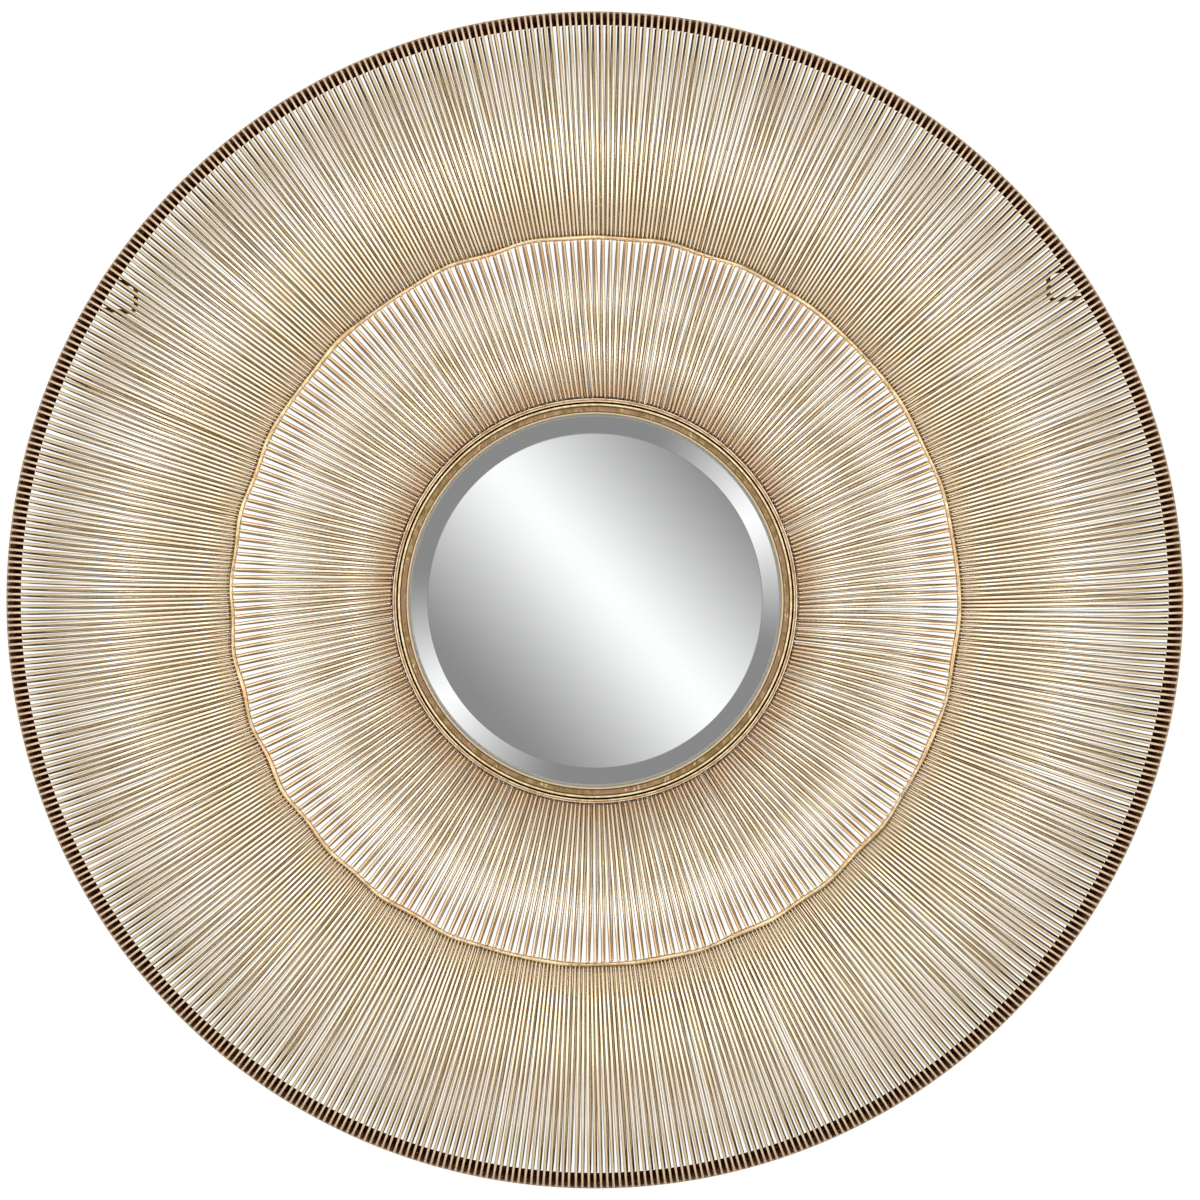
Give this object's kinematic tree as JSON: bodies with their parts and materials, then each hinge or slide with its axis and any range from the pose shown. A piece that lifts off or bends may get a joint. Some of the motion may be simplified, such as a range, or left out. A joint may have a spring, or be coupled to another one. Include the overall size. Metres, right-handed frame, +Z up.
{
  "type": "wall mirror",
  "caption": "Round bevelled wall mirror in a wide sunburst frame of bent gold wires, in two tiers and two layers, hung by wire loops.",
  "frame": {"origin": "on the back of the left hanging loop's top bar, where it lies against the wall over its hook", "axes": "+Z is up, +Y points into the wall, and the glass looks along -Y; the mirror's centre is 0.436 m along +X and 0.293 m below"},
  "size_m": [1.0668, 0.1204, 1.0668],
  "materials": {
    "gold_wire": "champagne gold metallic, rubbed brown in the gaps and at the welds",
    "gold_ring": "champagne gold metallic, slightly wavy",
    "rim_strip": "bronzed brown, gold rubbed on its edges",
    "frame_channel": "antique gold with brown and olive blotches, bright outer lip",
    "hanger_wire": "brown gold",
    "mirror_glass": "clear silvered glass with a polished bevel",
    "backing_board": "black painted fibreboard"
  },
  "bodies": {
    "root": {"outer_rim": "rim_strip", "outer_wires_front_1": "gold_wire", "outer_wires_front_2": "gold_wire", "outer_wires_front_3": "gold_wire", "outer_wires_front_4": "gold_wire", "outer_wires_front_5": "gold_wire", "outer_wires_front_6": "gold_wire", "outer_wires_front_7": "gold_wire", "outer_wires_front_8": "gold_wire", "outer_wires_back_1": "gold_wire", "outer_wires_back_2": "gold_wire", "outer_wires_back_3": "gold_wire", "outer_wires_back_4": "gold_wire", "outer_wires_back_5": "gold_wire", "outer_wires_back_6": "gold_wire", "outer_wires_back_7": "gold_wire", "outer_wires_back_8": "gold_wire", "middle_ring": "gold_ring", "inner_wires_front_1": "gold_wire", "inner_wires_front_2": "gold_wire", "inner_wires_front_3": "gold_wire", "inner_wires_front_4": "gold_wire", "inner_wires_front_5": "gold_wire", "inner_wires_front_6": "gold_wire", "inner_wires_back_1": "gold_wire", "inner_wires_back_2": "gold_wire", "inner_wires_back_3": "gold_wire", "inner_wires_back_4": "gold_wire", "inner_wires_back_5": "gold_wire", "inner_wires_back_6": "gold_wire", "hub_ring": "gold_ring", "glass_frame": "frame_channel", "mirror_glass": "mirror_glass", "backing_board": "backing_board", "hanger_left": "hanger_wire", "hanger_right": "hanger_wire"}
  },
  "joints": []
}
